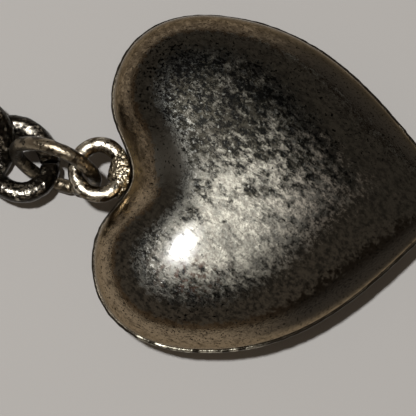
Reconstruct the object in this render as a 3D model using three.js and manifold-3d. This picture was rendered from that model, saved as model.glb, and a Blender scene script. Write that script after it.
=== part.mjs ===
// Puffed silver heart charm with its jump ring and the two chain links nearest to it.
// The heart lies on its back: +X points to its tip, the chain runs towards -X, and +Z is up.
// The origin is the middle of the small flat worn on the back. All sizes are millimetres.
import * as THREE from "three";
import { mergeVertices } from "three/addons/utils/BufferGeometryUtils.js";
import Module from "manifold-3d";

// Heart outline, measured from the crown of the domes. The +Y lobe is on the right when the heart hangs
const HEART_WIDTH = 20;
const TIP_REACH = 12.45;
const RIGHT_LOBE_REACH = 8.5;
const LEFT_LOBE_REACH = 8.93;
const LOBE_SPACING = 9.5;
const SHOULDER_REACH = 2.9; // to the widest line, on the notch's side
const NOTCH_REACH = 6.85;
const RIGHT_LOBE_FULLNESS = 0.41; // how squarely a lobe turns into the notch
const LEFT_LOBE_FULLNESS = 0.56;

// Shells of sheet silver and the solder seam between their rims
const SHEET = 0.4;
const DOME_HEIGHT = 3.8;
const DOME_FULLNESS = 2.5; // how flat the crown is and how steep the edge
const CREASE_DEPTH = 0.55; // share of the rise that is lost in the crease at the notch
const CREASE_LENGTH = 3;
const CREASE_WIDTH = 2.2;
const TIP_CONE = 0.7; // share of a plain cone in the form of the tip
const TIP_LENGTH = 3.5; // of the stretch where that share is full
const REST_WEAR = 0.06; // depth worn off the crown of the back
const VENT_BORE = 0.8;
const VENT_INSET = 2; // from the bottom of the notch
const SEAM_HEIGHT = 0.3;
const SEAM_BEAD = 0.15; // how far the solder stands out of the rim

// Hanging loop, which lies in the plane of the seam
const LOOP_WIRE = 0.84;
const LOOP_HOLE_LENGTH = 2;
const LOOP_HOLE_WIDTH = 2.32;
const LOOP_OFFSET = 0.32; // sideways, as it was soldered
const LOOP_SEAT_GAP = 0.06; // to the seam
const SOLDER_LENGTH = 1.7;
const SOLDER_WIDTH = 3;
const SOLDER_HEIGHT = 1.2;
const SOLDER_GAP = 0.06; // to the loop and to the seam

// Jump ring, which stands upright through the loop
const JUMP_WIRE = 0.8;
const JUMP_BORE = 4.3;
const JUMP_PLAY = 0.2; // between its wire and the loop's

// Chain links, two alike
const LINK_WIRE = 1.15;
const LINK_HOLE_LENGTH = 2.85;
const LINK_HOLE_WIDTH = 3.85;
const LINK_LEAD = 0.18; // along the first link, from its middle to where the jump ring passes
const LINK_SHIFT = 0.45; // across it, likewise
const END_PLAY = 0.46; // between the two links' wires
const END_SHIFT = 0.7; // from the end link's middle to where the first link passes
const SLIT_WIDTH = 0.1; // at the butt joint of every ring

// How the rings lie, in degrees: roll about X, then pitch about Y, then yaw about Z
const LOOP_TURN = lie(-8, 0, 0);
const JUMP_TURN = lie(73, 0, -17.2);
const LINK_TURN = lie(-17.6, 12.3, 27.1);
const END_TURN = lie(28.5, 2.8, 15.3);
const LOOP_HOOK_ANGLE = 179; // where on the loop the jump ring hangs
const JUMP_HOOK_ANGLE = 36; // where inside the jump ring the loop passes
const LINK_HOOK_ANGLE = 216; // where on the jump ring the first link hangs
const END_HOOK_ANGLE = 148; // where on the first link the end link hangs
const LOOP_SLIT_ANGLE = 0; // where each ring's butt joint lies
const JUMP_SLIT_ANGLE = 300;
const LINK_SLIT_ANGLE = 330;
const END_SLIT_ANGLE = 150;

// Fineness of the facets
const HALF_OUTLINE_STEPS = 36;
const DOME_STEPS = 9;
const RING_STEPS = 36;
const WIRE_QUARTERS = 4;

const RIM_HEIGHT = DOME_HEIGHT - REST_WEAR + SEAM_HEIGHT / 2;

const wasm = await Module();
wasm.setup();

function lie(roll, pitch, yaw) {
  const [x, y, z] = [roll, pitch, yaw].map(THREE.MathUtils.degToRad);
  return new THREE.Euler(x, y, z, "ZYX");
}

function silver(color, roughness) {
  return new THREE.MeshStandardMaterial({ color, roughness, metalness: 1 });
}

// Booleans between closed meshes
function toSolid(geometry) {
  const bare = geometry.clone();
  bare.deleteAttribute("normal");
  bare.deleteAttribute("uv");
  const merged = mergeVertices(bare.index ? bare.toNonIndexed() : bare, 1e-5);
  const corners = [];
  for (let k = 0; k < merged.index.count; k += 3) {
    const face = [0, 1, 2].map((step) => merged.index.getX(k + step));
    if (new Set(face).size === 3) corners.push(...face);
  }
  const vertProperties = Float32Array.from(merged.getAttribute("position").array);
  const triVerts = Uint32Array.from(corners);
  return new wasm.Manifold(new wasm.Mesh({ numProp: 3, vertProperties, triVerts }));
}

function toGeometry(solid) {
  const mesh = solid.getMesh();
  const geometry = new THREE.BufferGeometry();
  geometry.setAttribute("position", new THREE.BufferAttribute(mesh.vertProperties, 3));
  geometry.setIndex(new THREE.BufferAttribute(mesh.triVerts, 1));
  geometry.computeVertexNormals();
  return geometry;
}

// One half of the outline, from the tip over the shoulder and the end of a lobe to the notch
function halfOutline(side, lobeReach, lobeFullness) {
  const tip = new THREE.Vector2(TIP_REACH, 0);
  const shoulder = new THREE.Vector2(-SHOULDER_REACH, (side * HEART_WIDTH) / 2);
  const lobe = new THREE.Vector2(-lobeReach, (side * LOBE_SPACING) / 2);
  const notch = new THREE.Vector2(-NOTCH_REACH, 0);
  const between = (a, b, alongX, alongY) =>
    new THREE.Vector2(THREE.MathUtils.lerp(a.x, b.x, alongX), THREE.MathUtils.lerp(a.y, b.y, alongY));
  const half = new THREE.CurvePath();
  half.add(new THREE.CubicBezierCurve(
    tip, between(tip, shoulder, 0.29, 0.47), between(tip, shoulder, 0.51, 1), shoulder));
  half.add(new THREE.CubicBezierCurve(
    shoulder, between(shoulder, lobe, 0.61, 0), between(shoulder, lobe, 1, 0.39), lobe));
  half.add(new THREE.CubicBezierCurve(
    lobe, between(lobe, notch, 0, lobeFullness), between(lobe, notch, 1, 0.68), notch));
  return half.getSpacedPoints(HALF_OUTLINE_STEPS);
}

// The outline runs round the right half from tip to notch, and back round the left half
const outline = [
  ...halfOutline(1, RIGHT_LOBE_REACH, RIGHT_LOBE_FULLNESS),
  ...halfOutline(-1, LEFT_LOBE_REACH, LEFT_LOBE_FULLNESS).slice(1, -1).reverse(),
];
const outward = outline.map((_, i) => {
  const before = outline.at(i - 1);
  const after = outline[(i + 1) % outline.length];
  return new THREE.Vector2(after.y - before.y, before.x - after.x).normalize();
});

function outlinePoint(i, standOut) {
  return outline[i].clone().addScaledVector(outward[i], standOut);
}

// A lathe whose circles are stretched to the heart's contours: place(i, station) gives each vertex
function heartLathe(stations, place) {
  const profile = stations.map((_, j) => new THREE.Vector2(HEART_WIDTH / 2, j));
  const geometry = new THREE.LatheGeometry(profile, outline.length);
  const position = geometry.getAttribute("position");
  for (let i = 0; i <= outline.length; i += 1) {
    stations.forEach((station, j) => {
      const { x, y, z } = place(i % outline.length, station);
      position.setXYZ(i * stations.length + j, x, y, z);
    });
  }
  return toGeometry(toSolid(geometry));
}

// Distance from a point to the rim, as a mean over all directions, so that the dome has no crest lines
function softDistance(point) {
  const sum = outline.reduce((total, corner, i) => {
    const from = corner.clone().sub(point);
    const to = outline[(i + 1) % outline.length].clone().sub(point);
    const angle = Math.abs(Math.atan2(from.cross(to), from.dot(to)));
    return total + (angle * from.distanceTo(to)) / Math.abs(from.cross(to));
  }, 0);
  return Math.PI / sum;
}

const crownDistance = softDistance(new THREE.Vector2());

// A dome has a flat crown and a steep round edge, a crease that runs in from the notch, and a conical tip
function domeHeight(point) {
  const alongCrease = (point.x + NOTCH_REACH) / CREASE_LENGTH;
  const acrossCrease = point.y / CREASE_WIDTH;
  const crease = CREASE_DEPTH * Math.exp(-(alongCrease ** 2) - acrossCrease ** 2);
  const inward = Math.min(1, ((1 - crease) * softDistance(point)) / crownDistance);
  const round = Math.sqrt(1 - (1 - inward) ** DOME_FULLNESS);
  const cone = TIP_CONE * THREE.MathUtils.smoothstep(point.x, -SHOULDER_REACH, TIP_REACH - TIP_LENGTH);
  return DOME_HEIGHT * THREE.MathUtils.lerp(round, inward, cone);
}

function domePoint(i, { angle, depth }) {
  const share = Math.sqrt(Math.sin(angle));
  const height = share < 1 ? domeHeight(outline[i].clone().multiplyScalar(share)) : 0;
  const { x, y } = outlinePoint(i, -depth).multiplyScalar(share);
  return new THREE.Vector3(x, y, height * (1 - depth / DOME_HEIGHT));
}

// The wall's profile runs from the crown down the inner face, across the rim and up the outer face
function wallStations() {
  const angles = Array.from({ length: DOME_STEPS + 1 }, (_, k) => (k / DOME_STEPS) * (Math.PI / 2));
  angles.splice(1, 0, angles[1] / 4);
  const inner = angles.map((angle) => ({ angle, depth: SHEET }));
  const outer = angles.map((angle) => ({ angle, depth: 0 }));
  return [...inner, ...outer.reverse()];
}

function frontShell() {
  return heartLathe(wallStations(), domePoint);
}

function backShell() {
  const shell = heartLathe(wallStations().reverse(), (i, station) => {
    const { x, y, z } = domePoint(i, station);
    return new THREE.Vector3(x, y, -Math.min(z, DOME_HEIGHT - REST_WEAR));
  });
  const vent = new THREE.CylinderGeometry(VENT_BORE / 2, VENT_BORE / 2, 2 * DOME_HEIGHT, 16);
  vent.rotateX(Math.PI / 2);
  vent.translate(VENT_INSET - NOTCH_REACH, 0, -DOME_HEIGHT);
  return toGeometry(toSolid(shell).subtract(toSolid(vent)));
}

// The seam fills the gap between the two rims and bulges out of it
function seam() {
  const bead = [-90, -45, 0, 45, 90].map(THREE.MathUtils.degToRad).map((angle) => ({
    standOut: SEAM_BEAD * Math.cos(angle),
    z: (SEAM_HEIGHT / 2) * Math.sin(angle),
  }));
  const innerTop = { standOut: -SHEET, z: SEAM_HEIGHT / 2 };
  const innerBottom = { standOut: -SHEET, z: -SEAM_HEIGHT / 2 };
  return heartLathe([innerBottom, ...bead, innerTop, innerBottom], (i, { standOut, z }) => {
    const { x, y } = outlinePoint(i, standOut);
    return new THREE.Vector3(x, y, z);
  });
}

// Rings of round wire, bent from a cut length whose ends meet at a slit
class RingArc extends THREE.Curve {
  constructor(halfLength, halfWidth, slitAt) {
    super();
    this.halfLength = halfLength;
    this.halfWidth = halfWidth;
    this.start = THREE.MathUtils.degToRad(slitAt) + SLIT_WIDTH / 2 / halfLength;
    this.sweep = 2 * Math.PI - SLIT_WIDTH / halfLength;
  }

  getPoint(t, target = new THREE.Vector3()) {
    const angle = this.start + this.sweep * t;
    return target.set(this.halfLength * Math.cos(angle), this.halfWidth * Math.sin(angle), 0);
  }
}

function wireRing({ halfLength, halfWidth, wire }, slitAt) {
  const section = new THREE.Shape().absarc(0, 0, wire / 2, 0, 2 * Math.PI);
  return new THREE.ExtrudeGeometry(section, {
    steps: RING_STEPS,
    curveSegments: WIRE_QUARTERS,
    bevelEnabled: false,
    extrudePath: new RingArc(halfLength, halfWidth, slitAt),
  });
}

function ringSize(holeLength, holeWidth, wire) {
  return { halfLength: (holeLength + wire) / 2, halfWidth: (holeWidth + wire) / 2, wire };
}

const loopSize = ringSize(LOOP_HOLE_LENGTH, LOOP_HOLE_WIDTH, LOOP_WIRE);
const jumpSize = ringSize(JUMP_BORE, JUMP_BORE, JUMP_WIRE);
const linkSize = ringSize(LINK_HOLE_LENGTH, LINK_HOLE_WIDTH, LINK_WIRE);

// A point on a ring's centre line, and a point in its plane, both from the ring's centre in the part's axes
function onWire({ halfLength, halfWidth }, turn, degrees) {
  const angle = THREE.MathUtils.degToRad(degrees);
  return inPlane(turn, halfLength * Math.cos(angle), halfWidth * Math.sin(angle));
}

function inPlane(turn, x, y) {
  return new THREE.Vector3(x, y, 0).applyEuler(turn);
}

// The loop lies as deep in the notch as the seam on its walls allows
function loopSeat() {
  const halfLength = loopSize.halfLength + LOOP_WIRE / 2 + LOOP_SEAT_GAP;
  const halfWidth = loopSize.halfWidth + LOOP_WIRE / 2 + LOOP_SEAT_GAP;
  const limits = outline.flatMap((_, i) => {
    const wall = outlinePoint(i, SEAM_BEAD);
    const across = (wall.y - LOOP_OFFSET) / halfWidth;
    return wall.x < 0 && Math.abs(across) < 1 ? [wall.x - halfLength * Math.sqrt(1 - across * across)] : [];
  });
  return new THREE.Vector3(Math.min(...limits), LOOP_OFFSET, RIM_HEIGHT);
}

const loopCentre = loopSeat();

// Each later ring hangs on the wire of the one before
function jumpSeat() {
  const inside = jumpSize.halfLength - (JUMP_WIRE + LOOP_WIRE) / 2 - JUMP_PLAY;
  const angle = THREE.MathUtils.degToRad(JUMP_HOOK_ANGLE);
  const hook = inPlane(JUMP_TURN, inside * Math.cos(angle), inside * Math.sin(angle));
  return loopCentre.clone().add(onWire(loopSize, LOOP_TURN, LOOP_HOOK_ANGLE)).sub(hook);
}

const jumpCentre = jumpSeat();

function linkSeat() {
  const hook = inPlane(LINK_TURN, LINK_LEAD, -LINK_SHIFT);
  return jumpCentre.clone().add(onWire(jumpSize, JUMP_TURN, LINK_HOOK_ANGLE)).sub(hook);
}

const linkCentre = linkSeat();

function endSeat() {
  const hook = inPlane(END_TURN, linkSize.halfLength - LINK_WIRE - END_PLAY, -END_SHIFT);
  return linkCentre.clone().add(onWire(linkSize, LINK_TURN, END_HOOK_ANGLE)).sub(hook);
}

const endCentre = endSeat();

// The lump of solder fills the notch round the loop's wire, and follows the wire and the walls
function loopSolder() {
  const lump = new THREE.SphereGeometry(0.5, 24, 16);
  lump.scale(SOLDER_LENGTH, SOLDER_WIDTH, SOLDER_HEIGHT);
  lump.translate(loopCentre.x + loopSize.halfLength, LOOP_OFFSET / 2, RIM_HEIGHT);
  const walls = new THREE.Shape(outline.map((_, i) => outlinePoint(i, SEAM_BEAD + SOLDER_GAP)));
  const heart = new THREE.ExtrudeGeometry(walls, { depth: 2 * SOLDER_HEIGHT, bevelEnabled: false });
  heart.translate(0, 0, RIM_HEIGHT - SOLDER_HEIGHT);
  const sleeve = wireRing({ ...loopSize, wire: LOOP_WIRE + 2 * SOLDER_GAP }, LOOP_SLIT_ANGLE + 180);
  sleeve.applyMatrix4(new THREE.Matrix4().makeRotationFromEuler(LOOP_TURN));
  sleeve.translate(loopCentre.x, loopCentre.y, loopCentre.z);
  return toGeometry(toSolid(lump).subtract(toSolid(heart)).subtract(toSolid(sleeve)));
}

// Assembly
const charm = new THREE.Group();

function addPiece(name, geometry, material, position, turn = new THREE.Euler()) {
  const piece = new THREE.Mesh(geometry, material);
  piece.name = name;
  piece.position.copy(position);
  piece.rotation.copy(turn);
  charm.add(piece);
}

const onAxis = (z) => new THREE.Vector3(0, 0, z);
addPiece("heart_front_shell", frontShell(), silver(0x8f8a82, 0.4), onAxis(RIM_HEIGHT + SEAM_HEIGHT / 2));
addPiece("heart_back_shell", backShell(), silver(0x8f8a82, 0.4), onAxis(RIM_HEIGHT - SEAM_HEIGHT / 2));
addPiece("rim_solder_seam", seam(), silver(0xb9ae98, 0.35), onAxis(RIM_HEIGHT));
addPiece("hanging_loop", wireRing(loopSize, LOOP_SLIT_ANGLE), silver(0xc9c6bf, 0.25), loopCentre, LOOP_TURN);
addPiece("loop_solder", loopSolder(), silver(0xa88f5e, 0.45), onAxis(0));
addPiece("jump_ring", wireRing(jumpSize, JUMP_SLIT_ANGLE), silver(0xa59a8b, 0.35), jumpCentre, JUMP_TURN);
addPiece("chain_link", wireRing(linkSize, LINK_SLIT_ANGLE), silver(0x6b655d, 0.5), linkCentre, LINK_TURN);
addPiece("end_link", wireRing(linkSize, END_SLIT_ANGLE), silver(0x6b655d, 0.5), endCentre, END_TURN);

export default charm;
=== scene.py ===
# Puffed silver heart charm on the end of its chain, lying on its back on a pale sheet.
# The heart's tip points to +X and its chain runs to -X. Everything is in metres, in the frame's own axes.
import math
from types import SimpleNamespace
import bmesh
import bpy
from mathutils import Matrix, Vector
from mathutils.bvhtree import BVHTree


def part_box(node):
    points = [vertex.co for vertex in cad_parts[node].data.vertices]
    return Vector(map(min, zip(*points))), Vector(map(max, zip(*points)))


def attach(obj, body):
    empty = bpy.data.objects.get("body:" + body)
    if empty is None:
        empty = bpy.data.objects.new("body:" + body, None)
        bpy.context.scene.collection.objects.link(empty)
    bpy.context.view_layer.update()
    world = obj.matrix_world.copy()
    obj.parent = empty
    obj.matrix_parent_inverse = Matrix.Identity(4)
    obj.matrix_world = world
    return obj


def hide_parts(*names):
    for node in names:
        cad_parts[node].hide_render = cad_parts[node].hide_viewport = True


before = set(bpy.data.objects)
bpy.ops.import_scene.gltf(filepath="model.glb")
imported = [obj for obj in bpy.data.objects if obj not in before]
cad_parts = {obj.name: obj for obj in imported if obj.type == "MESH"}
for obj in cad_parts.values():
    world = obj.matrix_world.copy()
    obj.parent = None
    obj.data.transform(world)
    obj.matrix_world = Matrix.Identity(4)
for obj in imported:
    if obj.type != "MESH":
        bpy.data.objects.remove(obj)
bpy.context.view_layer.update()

# Front and back shells of the heart.
# Each is struck from thin sheet silver over a heart-shaped punch. Handling has rubbed the crowns to a
# mottled grey, soot-black tarnish lies on the slopes, and the steep sides above the rim are brown.
# Painted shade darkens parts of the crowns along with the soot, and the brown side towards the tip;
# painted light makes the slopes lighter towards -Y.
MM = 0.001
MERGE_DISTANCE = 0.002 * MM
JOINED_FACE_ANGLE = math.radians(50)
JOINED_SHAPE_ANGLE = math.radians(60)
SHELL_LEVELS = 2


def fine_copy(node, name, body, levels):
    """A piece with the form of a CAD node, its facets rounded off."""
    form = bmesh.new()
    form.from_mesh(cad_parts[node].data)
    bmesh.ops.remove_doubles(form, verts=form.verts, dist=MERGE_DISTANCE)
    bmesh.ops.join_triangles(
        form,
        faces=form.faces,
        cmp_seam=False,
        cmp_sharp=False,
        cmp_uvs=False,
        cmp_vcols=False,
        cmp_materials=False,
        angle_face_threshold=JOINED_FACE_ANGLE,
        angle_shape_threshold=JOINED_SHAPE_ANGLE,
    )
    for face in form.faces:
        face.smooth = True
    mesh = bpy.data.meshes.new(name)
    form.to_mesh(mesh)
    form.free()
    stored_normals = mesh.attributes.get("custom_normal")
    if stored_normals:
        mesh.attributes.remove(stored_normals)
    mesh.materials.clear()
    piece = bpy.data.objects.new(name, mesh)
    bpy.context.scene.collection.objects.link(piece)
    rounding = piece.modifiers.new("rounding", "SUBSURF")
    rounding.levels = rounding.render_levels = levels
    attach(piece, body)
    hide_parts(node)
    return piece


def add(tree, kind, inputs, **settings):
    """Adds a node whose inputs are given as values or as the sockets that feed them."""
    node = tree.nodes.new("ShaderNode" + kind)
    for setting, value in settings.items():
        setattr(node, setting, value)
    for key, value in inputs.items():
        if isinstance(value, bpy.types.NodeSocket):
            tree.links.new(value, node.inputs[key])
        else:
            node.inputs[key].default_value = value
    return node


def finish(name):
    """A metal finish: its material, node tree, shader, and coordinates in millimetres."""
    material = bpy.data.materials.new(name)
    material.use_nodes = True
    tree = material.node_tree
    shader = tree.nodes["Principled BSDF"]
    shader.inputs["Metallic"].default_value = 1
    place = add(tree, "TexCoord", {}).outputs["Object"]
    millimetres = add(tree, "Mapping", {"Vector": place, "Scale": (1 / MM, 1 / MM, 1 / MM)})
    return material, tree, shader, millimetres.outputs["Vector"]


def noise(tree, vector, scale, detail=6, roughness=0.6, distortion=0):
    """Uneven pattern between 0 and 1, for the most part near the middle."""
    inputs = {"Vector": vector, "Scale": scale, "Detail": detail, "Roughness": roughness}
    return add(tree, "TexNoise", {**inputs, "Distortion": distortion}).outputs["Fac"]


def span(tree, value, low, high, from_value=0, to_value=1):
    """Value between two others, smoothly, as another runs from low to high."""
    inputs = {"Value": value, "From Min": low, "From Max": high, "To Min": from_value, "To Max": to_value}
    return add(tree, "MapRange", inputs, interpolation_type="SMOOTHSTEP").outputs["Result"]


def swing(tree, pattern, amount, low=0.3, high=0.7):
    """A noise stretched to reach as far as the amount to either side of 0."""
    return span(tree, pattern, low, high, -amount, amount)


def sums(tree, operation, first, second):
    """Result of one step of arithmetic on two values."""
    return add(tree, "Math", {0: first, 1: second}, operation=operation).outputs["Value"]


def plus(tree, value, pattern, share):
    """Value with a share of a pattern added to it."""
    return sums(tree, "ADD", value, sums(tree, "MULTIPLY", pattern, share))


# The Mix node's sockets for colours share their names with others, so they go by number.
FIRST_COLOUR = 6
SECOND_COLOUR = 7
MIXED_COLOUR = 2


def mix(tree, share, first, second):
    """Colour between two colours."""
    inputs = {"Factor": share, FIRST_COLOUR: first, SECOND_COLOUR: second}
    return add(tree, "Mix", inputs, data_type="RGBA").outputs[MIXED_COLOUR]


def zone(tree, mm, centre, reach, height, turn=0):
    """1 in the middle of an ellipsoid, given by its centre in plan and its height, and 0 outside it."""
    inputs = {"Vector": mm, "Location": (*centre, height), "Rotation": (0, 0, turn), "Scale": reach}
    inside = add(tree, "Mapping", inputs, vector_type="TEXTURE").outputs["Vector"]
    return span(tree, add(tree, "VectorMath", {0: inside}, operation="LENGTH").outputs["Value"], 1, 0)


def levelness(tree):
    """1 where the surface lies level and 0 where it is upright."""
    normal = add(tree, "TexCoord", {}).outputs["Normal"]
    upwards = add(tree, "SeparateXYZ", {"Vector": normal}).outputs["Z"]
    return sums(tree, "ABSOLUTE", upwards, 0)


def bump(tree, shader, height, depth):
    """Fine relief in the finish."""
    node = add(tree, "Bump", {"Strength": 1, "Distance": depth, "Height": height})
    tree.links.new(node.outputs["Normal"], shader.inputs["Normal"])


# Places, reaches and heights on the shells are in millimetres. A range for span is low and high, and then,
# where these aren't 0 and 1, the values that it runs between.
WIPE_DIRECTION = math.radians(-35)
WIPE_STRETCH = (1.4, 0.95, 0.95)
CLOUDS = {"scale": 0.7, "roughness": 0.65}
PATCHES = {"scale": 1.5, "roughness": 0.7}
GRAIN = {"scale": 2.8, "detail": 8, "roughness": 0.75, "distortion": 0.25}
MOTTLING = {"scale": 4.5, "roughness": 0.75}
FINE_GRAIN = {"scale": 8, "detail": 4}
UNEVEN_WEAR = {"amount": 0.03, "low": 0.35, "high": 0.65}
VALLEY_ZONE = ((-4.8, 0.8), (2.8, 3, 2.8))
VALLEY_DEPTH = 1
LOBE_SLANT = 0.12
# Soot zones that also paint shade: they darken the crown where it turns away from the lamp, round the
# highlight, over the upper lobe and in the valley.
SOOT_AND_SHADE_TOWARDS_LOBE = (-3, 3.8)
SOOT_AND_SHADE_SWING = 0.3
SOOT_AND_SHADE_ZONE_DEPTH = 6
SOOT_AND_SHADE_ZONES = (
    ((-7, -4.6), (3.6, 4.7), 1),
    ((-2, -8), (7, 4.5), 1),
    ((-4.4, 6.4), (4.4, 3), 1.4),
    ((-1.8, 1), (2.4, 2.2), 0.7),
    ((-3.3, -2.4), (1.6, 1.3), 0.6),
    ((-5.2, 0.6), (3.6, 3.4), 0.9),
    ((0.2, -0.9), (0.8, 0.6), 1.1),
)


def shell_marks(tree, mm, crown_height):
    """What the colours and the polish of a shell share: patterns, places, wear, and soot with painted
    shade.
    """
    place = add(tree, "SeparateXYZ", {"Vector": mm})
    stretch = {"Vector": mm, "Rotation": (0, 0, WIPE_DIRECTION), "Scale": WIPE_STRETCH}
    wiped = add(tree, "Mapping", stretch, vector_type="TEXTURE").outputs["Vector"]
    marks = SimpleNamespace(mm=mm, crown_height=crown_height)
    marks.along = place.outputs["X"]
    marks.across = place.outputs["Y"]
    marks.clouds = noise(tree, mm, **CLOUDS)
    marks.patches = noise(tree, wiped, **PATCHES)
    marks.grain = noise(tree, wiped, **GRAIN)
    marks.mottling = noise(tree, wiped, **MOTTLING)
    marks.fine_grain = noise(tree, mm, **FINE_GRAIN)
    marks.level = levelness(tree)
    marks.rubbed = sums(tree, "ADD", marks.level, swing(tree, marks.mottling, **UNEVEN_WEAR))
    marks.valley = zone(tree, mm, *VALLEY_ZONE, crown_height - VALLEY_DEPTH)

    # Painted shade with the soot: darker towards the upper lobe, and in the zones below.
    towards_lobe = sums(tree, "SUBTRACT", marks.across, sums(tree, "MULTIPLY", marks.along, LOBE_SLANT))
    smoked = span(tree, towards_lobe, *SOOT_AND_SHADE_TOWARDS_LOBE)
    smoked = sums(tree, "ADD", smoked, swing(tree, marks.clouds, SOOT_AND_SHADE_SWING))
    for centre, reach, share in SOOT_AND_SHADE_ZONES:
        soot_and_shade_patch = zone(tree, mm, centre, (*reach, SOOT_AND_SHADE_ZONE_DEPTH), crown_height)
        smoked = sums(tree, "MAXIMUM", smoked, sums(tree, "MULTIPLY", soot_and_shade_patch, share))
    marks.smoked = smoked
    return marks


PALE_SILVER = (0.2, 0.19, 0.158, 1)
COOL_SILVER = (0.081, 0.079, 0.068, 1)
WARM_SILVER = (0.225, 0.198, 0.163, 1)
DULL_SILVER = (0.08, 0.073, 0.061, 1)
SOOT = (0.0215, 0.0195, 0.0147, 1)
THICK_SOOT = (0.0035, 0.0034, 0.003, 1)
RUST = (0.024, 0.0145, 0.0105, 1)
SILVER_DRIFT = 2
COOL_TO_PALE = (-4, 0)
PALE_TO_WARM = (0, 5)
COOL_PATCHES = (0.44, 0.62, 0, 0.9)
DULL_MOTTLES = (0.4, 0.58)
SOOT_GRAIN = -0.5
SOOT_PATCHES = (0.36, 0.64, -0.2, 0.35)
HEAVY_SOOT_AND_SHADE = (0.9, 1.3, 0, 0.1)
THICK_TO_THIN_SOOT = (0.4, 0.6)
BARE_SPOTS = {"scale": 4.5, "detail": 4}
BARE_SPOT_EDGE = (0.58, 0.7)
BARE_IN_SOOT_AND_SHADE = (0.8, 1.2, 1, 0.3)
RUST_ZONE = ((-3.4, -6.2), (4, 3, 6))
RUST_SPOTS = {"scale": 3, "detail": 5}
RUST_SPOT_EDGE = (0.5, 0.64)


def crown_colour(tree, marks):
    """Rubbed silver, cool at the lobes and warm at the tip, under soot and painted shade, with bare and
    rusty spots.
    """
    drift = sums(tree, "ADD", marks.along, swing(tree, marks.clouds, SILVER_DRIFT))
    silver = mix(tree, span(tree, drift, *COOL_TO_PALE), COOL_SILVER, PALE_SILVER)
    silver = mix(tree, span(tree, marks.along, *PALE_TO_WARM), silver, WARM_SILVER)
    silver = mix(tree, span(tree, marks.patches, *COOL_PATCHES), silver, COOL_SILVER)
    silver = mix(tree, span(tree, marks.mottling, *DULL_MOTTLES), DULL_SILVER, silver)

    # Soot and painted shade cover the crown here.
    cover = sums(tree, "ADD", marks.smoked, swing(tree, marks.grain, SOOT_GRAIN))
    cover = sums(tree, "ADD", cover, span(tree, marks.patches, *SOOT_PATCHES))
    thin = sums(tree, "SUBTRACT", marks.grain, span(tree, marks.smoked, *HEAVY_SOOT_AND_SHADE))
    grainy_soot = mix(tree, span(tree, thin, *THICK_TO_THIN_SOOT), THICK_SOOT, SOOT)
    crown = mix(tree, span(tree, cover, 0, 1), silver, grainy_soot)

    bare = span(tree, noise(tree, marks.mm, **BARE_SPOTS), *BARE_SPOT_EDGE)
    bare = sums(tree, "MULTIPLY", bare, span(tree, marks.smoked, *BARE_IN_SOOT_AND_SHADE))
    crown = mix(tree, bare, crown, COOL_SILVER)
    rusty = span(tree, noise(tree, marks.mm, **RUST_SPOTS), *RUST_SPOT_EDGE)
    rusty = sums(tree, "MULTIPLY", rusty, zone(tree, marks.mm, *RUST_ZONE, marks.crown_height))
    return mix(tree, rusty, crown, RUST)


SLOPE_SILVER = (0.19, 0.192, 0.175, 1)
SLOPE_IN_PAINTED_LIGHT = (0.36, 0.345, 0.305, 1)
DARK_SLOPE = (0.09, 0.092, 0.086, 1)
VALLEY_SILVER = (0.17, 0.16, 0.137, 1)
PAINTED_LIGHT_ACROSS = (1, -7, 0, 0.75)
SLOPE_STREAKS = (0.42, 0.56)


def slope_colour(tree, marks):
    """Streaked dark silver, lighter towards -Y with painted light, and a plainer valley that runs up from
    the notch.
    """
    # Painted light: the slope turns lighter towards -Y.
    slope_with_painted_light = mix(tree, span(tree, marks.across, *PAINTED_LIGHT_ACROSS), SLOPE_SILVER, SLOPE_IN_PAINTED_LIGHT)
    streaks = sums(tree, "DIVIDE", sums(tree, "ADD", marks.grain, marks.mottling), 2)
    slope = mix(tree, span(tree, streaks, *SLOPE_STREAKS), DARK_SLOPE, slope_with_painted_light)
    return mix(tree, marks.valley, slope, VALLEY_SILVER)


BROWN_TARNISH = (0.40, 0.315, 0.215, 1)
DARK_BROWN_TARNISH = (0.15, 0.115, 0.078, 1)
BROWN_TARNISH_IN_PAINTED_SHADE = (0.06, 0.052, 0.042, 1)
SPECK_BLACK = (0.003, 0.003, 0.003, 1)
BROWNER_ACROSS = (-3, 3, 0.03, -0.07)
BROWN_GRAIN = (0.36, 0.58)
SHADED_TIP = (-2, 4)
SHADED_LEVELS = (0.3, 0.6)
SIDE_SPECK_EDGE = (0.56, 0.64)


def side_colour(tree, marks):
    """Brown tarnish of the steep side, with painted shade darkening it towards the tip, and black specks.
    """
    browned = sums(tree, "ADD", marks.grain, span(tree, marks.across, *BROWNER_ACROSS))
    side = mix(tree, span(tree, browned, *BROWN_GRAIN), DARK_BROWN_TARNISH, BROWN_TARNISH)
    # Painted shade: the side turns darker towards the tip, away from the lamp.
    shaded = span(tree, marks.along, *SHADED_TIP)
    shaded = sums(tree, "MULTIPLY", shaded, span(tree, marks.level, *SHADED_LEVELS))
    side = mix(tree, shaded, side, BROWN_TARNISH_IN_PAINTED_SHADE)
    return mix(tree, span(tree, marks.fine_grain, *SIDE_SPECK_EDGE), side, SPECK_BLACK)


BRASS_FLECK = (0.8, 0.62, 0.3, 1)
CROWN_TO_SLOPE = (0.98, 0.935)
SPECKS = {"scale": 5.5, "detail": 5, "distortion": 0.3}
SPECK_EDGE = (0.58, 0.64)
SPECKS_IN_SOOT_AND_SHADE = (0, 1, -0.07, 0)
BLOTCHED_ZONE = ((-5.5, 6), (4, 4, 6))
BLOTCHED_SHARE = 0.07
SIDE_TO_SLOPE = (0.79, 0.85)
SIDE_EDGE_SWING = 0.05
SIDE_EDGE_IN_VALLEY = 0.12
NOTCH_REACH = 6.85
NOTCH_ZONE = ((-NOTCH_REACH, 0.3), (2.2, 4.2, 2.6))
FLECK_EDGE = (0.5, 0.6)


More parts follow.
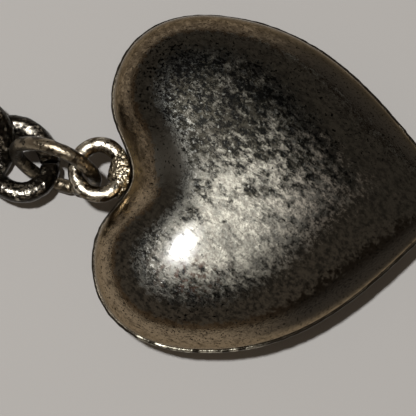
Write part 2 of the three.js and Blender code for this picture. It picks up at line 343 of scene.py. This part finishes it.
def shell_colour(tree, marks, rim_height):
    """Crown, slope and side, by how steep the surface is, with black specks and flecks of solder."""
    steepness = span(tree, marks.rubbed, *CROWN_TO_SLOPE)
    upper = mix(tree, steepness, crown_colour(tree, marks), slope_colour(tree, marks))
    blotched = zone(tree, marks.mm, *BLOTCHED_ZONE, marks.crown_height)
    specks = plus(tree, noise(tree, marks.mm, **SPECKS), blotched, BLOTCHED_SHARE)
    # More black specks where the soot and painted shade lie.
    specks = sums(tree, "ADD", specks, span(tree, marks.smoked, *SPECKS_IN_SOOT_AND_SHADE))
    upper = mix(tree, span(tree, specks, *SPECK_EDGE), upper, SPECK_BLACK)
    edge = sums(tree, "ADD", marks.level, swing(tree, marks.grain, SIDE_EDGE_SWING))
    edge = plus(tree, edge, marks.valley, SIDE_EDGE_IN_VALLEY)
    colour = mix(tree, span(tree, edge, *SIDE_TO_SLOPE), side_colour(tree, marks), upper)
    notch = zone(tree, marks.mm, *NOTCH_ZONE, rim_height)
    flecks = sums(tree, "MULTIPLY", notch, span(tree, marks.fine_grain, *FLECK_EDGE))
    return mix(tree, flecks, colour, BRASS_FLECK)


POLISH_GRAIN = (0.35, 0.68, 0.36, 0.46)
CROWN_TO_SLOPE_POLISH = (0.985, 0.93, 1, 0.32)
SCORCHED_ZONE = ((-NOTCH_REACH, 0.8), (4, 4, 4))
SCORCHED_ROUGHNESS = 0.45
VALLEY_ROUGHNESS = 0.25


def shell_roughness(tree, marks, rim_height):
    """Satin on the crown, glossy on the slopes, and dull by the solder and in the valley."""
    satin = span(tree, marks.grain, *POLISH_GRAIN)
    polish = sums(tree, "MULTIPLY", satin, span(tree, marks.rubbed, *CROWN_TO_SLOPE_POLISH))
    scorched = zone(tree, marks.mm, *SCORCHED_ZONE, rim_height)
    polish = plus(tree, polish, scorched, SCORCHED_ROUGHNESS)
    return plus(tree, polish, marks.valley, VALLEY_ROUGHNESS)


GRAZED_TARNISH = (0.62, 0.57, 0.5, 1)
THUMBED_ZONE = ((-4.1, -4.9), (2.1, 3.2, 2.8))
THUMBED_TURN = math.radians(-37)
THUMBED_GRAIN = (0.35, 0.6, 0.12, 0.6)
THUMBED_ROUGHNESS = 0.17
SHELL_RELIEF = 0.012 * MM


def tarnished_silver(name, crown_height, rim_height):
    """Finish of a whole shell, with the spot on one lobe that a thumb has polished."""
    material, tree, shader, mm = finish(name)
    marks = shell_marks(tree, mm, crown_height)
    tree.links.new(shell_colour(tree, marks, rim_height), shader.inputs["Base Color"])
    tree.links.new(shell_roughness(tree, marks, rim_height), shader.inputs["Roughness"])
    thumbed = zone(tree, mm, *THUMBED_ZONE, crown_height, THUMBED_TURN)
    thumbed = sums(tree, "MULTIPLY", thumbed, span(tree, marks.grain, *THUMBED_GRAIN))
    tree.links.new(thumbed, shader.inputs["Coat Weight"])
    shader.inputs["Coat Roughness"].default_value = THUMBED_ROUGHNESS
    shader.inputs["Specular Tint"].default_value = GRAZED_TARNISH
    bump(tree, shader, marks.fine_grain, SHELL_RELIEF)
    return material


seam_low, seam_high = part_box("rim_solder_seam")
rim_height = (seam_low.z + seam_high.z) / 2 / MM
front_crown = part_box("heart_front_shell")[1].z / MM
back_crown = 0
front = fine_copy("heart_front_shell", "heart_front_struck", "heart", SHELL_LEVELS)
front.data.materials.append(tarnished_silver("front_tarnish", front_crown, rim_height))
back = fine_copy("heart_back_shell", "heart_back_struck", "heart", SHELL_LEVELS)
back.data.materials.append(tarnished_silver("back_tarnish", back_crown, rim_height))

# Solder seam between the two rims.
# A thread of silver solder was run round the joint and filed by hand, so it stands out in small beads.
# It is rubbed bright on the side that the charm slides on, and brown elsewhere.
SEAM_LEVELS = 2
SEAM_BEADS = {"size": 0.4 * MM, "depth": 0.1 * MM}
SEAM_SILVER = (0.66, 0.62, 0.50, 1)
SEAM_SHADE = (0.05, 0.042, 0.031, 1)
SEAM_FLECKS = {"scale": 2.2, "detail": 4}
SEAM_FLECK_EDGE = (0.42, 0.6)
SEAM_RUBBED_SIDE = (-9.1, -9.9)
SEAM_ROUGHNESS = 0.35
SEAM_GRAIN = {"scale": 4, "detail": 4}
SEAM_GRAIN_DEPTH = 0.05 * MM
RELIEF_OCTAVES = 3
RELIEF_MEAN = 0.5


def roughen(piece, size, depth, swell=0):
    """Uneven surface, as hand work and wear leave it, swelling by so much on the average."""
    texture = bpy.data.textures.new(piece.name + "_relief", "CLOUDS")
    texture.noise_scale = size
    texture.noise_depth = RELIEF_OCTAVES
    relief = piece.modifiers.new("relief", "DISPLACE")
    relief.texture = texture
    relief.strength = depth
    relief.mid_level = RELIEF_MEAN - swell / depth


def solder_thread():
    """Finish of the seam, with bright flecks on its rubbed side."""
    material, tree, shader, mm = finish("solder_thread")
    across = add(tree, "SeparateXYZ", {"Vector": mm}).outputs["Y"]
    flecks = span(tree, noise(tree, mm, **SEAM_FLECKS), *SEAM_FLECK_EDGE)
    rubbed = sums(tree, "MULTIPLY", flecks, span(tree, across, *SEAM_RUBBED_SIDE))
    tree.links.new(mix(tree, rubbed, SEAM_SHADE, SEAM_SILVER), shader.inputs["Base Color"])
    shader.inputs["Roughness"].default_value = SEAM_ROUGHNESS
    bump(tree, shader, noise(tree, mm, **SEAM_GRAIN), SEAM_GRAIN_DEPTH)
    return material


seam = fine_copy("rim_solder_seam", "rim_solder_thread", "heart", SEAM_LEVELS)
roughen(seam, **SEAM_BEADS)
seam.data.materials.append(solder_thread())

# Rings of wire: the hanging loop soldered into the notch, the jump ring and the two chain links.
# Each is bent from drawn silver wire and closed at a butt joint. The loop is hammered a little flat and
# rubbed bright by the jump ring, and the links are black in their pits and bright only on their crests.
WIRE_LEVELS = 3
PIT_BLACK = (0.02, 0.017, 0.014, 1)
WIRE_STAINS = {"scale": 1.6, "detail": 7, "roughness": 0.65}
STAIN_SWING = 0.45
WEAR_BELOW_CREST = 0.2
WEAR_ABOVE_CREST = 0.1
WIRE_PITS = {"scale": 5, "detail": 4}
PIT_START = 0.66
PIT_END = 0.72
WIRE_GRAIN = {"scale": 5, "detail": 6}
WIRE_GRAIN_DEPTH = 0.04 * MM


def wire_silver(name, bright, dull, roughness, crest, pitting):
    """Silver that is bright on its crests, from the given level up, dull in its hollows, and pitted."""
    material, tree, shader, mm = finish(name)
    stains = swing(tree, noise(tree, mm, **WIRE_STAINS), STAIN_SWING)
    rubbed = sums(tree, "ADD", levelness(tree), stains)
    wear = span(tree, rubbed, crest - WEAR_BELOW_CREST, crest + WEAR_ABOVE_CREST)
    colour = mix(tree, wear, dull, bright)
    pits = span(tree, noise(tree, mm, **WIRE_PITS), PIT_START - pitting, PIT_END - pitting)
    tree.links.new(mix(tree, pits, colour, PIT_BLACK), shader.inputs["Base Color"])
    shader.inputs["Roughness"].default_value = roughness
    bump(tree, shader, noise(tree, mm, **WIRE_GRAIN), WIRE_GRAIN_DEPTH)
    return material


LOOSE_RINGS = ("jump_ring", "chain_link", "end_link")
RING_CLEARANCE = 0.1 * MM


def distance_to(ring, point):
    """Distance from a point to the nearest face of a ring."""
    place, normal, face, distance = ring.find_nearest(point)
    return distance


def widen(piece, node, growth):
    """Fills out a ring's section towards its hole, but stops short of the rings that pass through it."""
    low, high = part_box(node)
    others = []
    for other in LOOSE_RINGS:
        if other != node:
            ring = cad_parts[other].data
            corners = [vertex.co for vertex in ring.vertices]
            others.append(BVHTree.FromPolygons(corners, [face.vertices for face in ring.polygons]))
    for vertex in piece.data.vertices:
        inwards = ((low + high) / 2 - vertex.co).normalized()
        room = min(distance_to(other, vertex.co) for other in others) / 2 - RING_CLEARANCE
        vertex.co += inwards * max(0, min(room, growth * vertex.normal.dot(inwards)))


LOOP_SILVER = {
    "bright": (0.74, 0.68, 0.56, 1),
    "dull": (0.14, 0.105, 0.065, 1),
    "roughness": 0.27,
    "crest": 0.85,
    "pitting": 0.1,
}
JUMP_RING_SILVER = {
    "bright": (0.34, 0.285, 0.205, 1),
    "dull": (0.08, 0.065, 0.045, 1),
    "roughness": 0.32,
    "crest": 0.7,
    "pitting": 0.08,
}
LINK_SILVER = {
    "bright": (0.55, 0.51, 0.43, 1),
    "dull": (0.05, 0.044, 0.035, 1),
    "roughness": 0.26,
    "crest": 0.95,
    "pitting": 0.17,
}
WIRES = (
    ("hanging_loop", "heart", "bright_silver", LOOP_SILVER),
    ("jump_ring", "jump_ring", "worn_silver", JUMP_RING_SILVER),
    ("chain_link", "chain_link", "dark_silver", LINK_SILVER),
    ("end_link", "end_link", "dark_silver", LINK_SILVER),
)
GROWTHS = {"hanging_loop": 0.1 * MM, "jump_ring": 0, "chain_link": 0.3 * MM, "end_link": 0.3 * MM}
RELIEFS = {
    "hanging_loop": {"size": 0.8 * MM, "depth": 0.1 * MM, "swell": 0.06 * MM},
    "jump_ring": {"size": 0.5 * MM, "depth": 0.06 * MM, "swell": 0.06 * MM},
    "chain_link": {"size": 0.4 * MM, "depth": 0.08 * MM, "swell": 0.03 * MM},
    "end_link": {"size": 0.4 * MM, "depth": 0.08 * MM, "swell": -0.01 * MM},
}
for node, body, slot, silver in WIRES:
    wire = fine_copy(node, node + "_wire", body, WIRE_LEVELS)
    widen(wire, node, GROWTHS[node])
    roughen(wire, **RELIEFS[node])
    wire.data.materials.append(wire_silver(node + "_silver", **silver))

# Lump of hard solder that holds the loop in the notch.
# It is grainy and partly brassy, because it was left as it froze.
LUMP_LEVELS = 3
LUMP_GRAIN = {"size": 0.38 * MM, "depth": 0.3 * MM}
LUMP_SOLDER = {
    "bright": (0.46, 0.4, 0.29, 1),
    "dull": (0.12, 0.09, 0.05, 1),
    "roughness": 0.3,
    "crest": 0.7,
    "pitting": 0.12,
}
lump = fine_copy("loop_solder", "loop_solder_lump", "heart", LUMP_LEVELS)
roughen(lump, **LUMP_GRAIN)
lump.data.materials.append(wire_silver("grainy_solder", **LUMP_SOLDER))

# Sheet of pale paper that the charm lies on.
# It is flat and matt, and it reaches far past the picture on all sides.
SHEET_SIZE = 600 * MM
SHEET_COLOUR = (0.475, 0.458, 0.437, 1)
SHEET_ROUGHNESS = 0.8

sheet_form = bmesh.new()
bmesh.ops.create_grid(sheet_form, x_segments=1, y_segments=1, size=SHEET_SIZE / 2)
sheet_mesh = bpy.data.meshes.new("sheet")
sheet_form.to_mesh(sheet_mesh)
sheet_form.free()
sheet = bpy.data.objects.new("sheet", sheet_mesh)
bpy.context.scene.collection.objects.link(sheet)
paper = bpy.data.materials.new("paper")
paper.use_nodes = True
paper_shader = paper.node_tree.nodes["Principled BSDF"]
paper_shader.inputs["Base Color"].default_value = SHEET_COLOUR
paper_shader.inputs["Roughness"].default_value = SHEET_ROUGHNESS
sheet_mesh.materials.append(paper)

# Light: a dim room above a pale backdrop, and one small round lamp, nearly overhead.
# The room shows in the metal. The lamp makes the highlight on one lobe and the shadow beside the rim.
BACKDROP = (0.42, 0.41, 0.39, 1)
ROOM = (0.105, 0.086, 0.068, 1)
BACKDROP_TOP = 0.055
ROOM_BOTTOM = 0.085
LAMP_TILT = math.radians(9.25)
LAMP_AZIMUTH = math.radians(167)
LAMP_DISTANCE = 240 * MM
LAMP_SIZE = 12 * MM
LAMP_WATTS = 0.47

world = bpy.data.worlds.new("room")
world.use_nodes = True
room_tree = world.node_tree
direction = add(room_tree, "TexCoord", {}).outputs["Generated"]
upwards = add(room_tree, "SeparateXYZ", {"Vector": direction}).outputs["Z"]
surroundings = mix(room_tree, span(room_tree, upwards, BACKDROP_TOP, ROOM_BOTTOM), BACKDROP, ROOM)
room_tree.links.new(surroundings, room_tree.nodes["Background"].inputs["Color"])
bpy.context.scene.world = world

lamp_data = bpy.data.lights.new("lamp", "AREA")
lamp_data.shape = "DISK"
lamp_data.size = LAMP_SIZE
lamp_data.energy = LAMP_WATTS
lamp = bpy.data.objects.new("lamp", lamp_data)
towards_lamp = Vector((
    math.sin(LAMP_TILT) * math.cos(LAMP_AZIMUTH),
    math.sin(LAMP_TILT) * math.sin(LAMP_AZIMUTH),
    math.cos(LAMP_TILT),
))
lamp.location = towards_lamp * LAMP_DISTANCE
lamp.rotation_euler = towards_lamp.to_track_quat("Z", "Y").to_euler()
bpy.context.scene.collection.objects.link(lamp)

# Camera, almost straight above the charm.
# It stands well back with a long lens, and the heart's tip lies past the right edge of its picture.
CAMERA_TARGET = Vector((-2.37, -1.52, 3.95)) * MM
CAMERA_AZIMUTH = math.radians(4)
CAMERA_ELEVATION = math.radians(84)
CAMERA_DISTANCE = 120 * MM
CAMERA_LENS = 175.1
CAMERA_NEAREST = 5 * MM

camera_data = bpy.data.cameras.new("camera")
camera_data.lens = CAMERA_LENS
camera_data.clip_start = CAMERA_NEAREST
camera = bpy.data.objects.new("camera", camera_data)
towards_camera = Vector((
    math.sin(CAMERA_AZIMUTH) * math.cos(CAMERA_ELEVATION),
    -math.cos(CAMERA_AZIMUTH) * math.cos(CAMERA_ELEVATION),
    math.sin(CAMERA_ELEVATION),
))
camera.location = CAMERA_TARGET + towards_camera * CAMERA_DISTANCE
camera.rotation_euler = towards_camera.to_track_quat("Z", "Y").to_euler()
bpy.context.scene.collection.objects.link(camera)
bpy.context.scene.camera = camera
bpy.context.scene.view_settings.view_transform = "Standard"
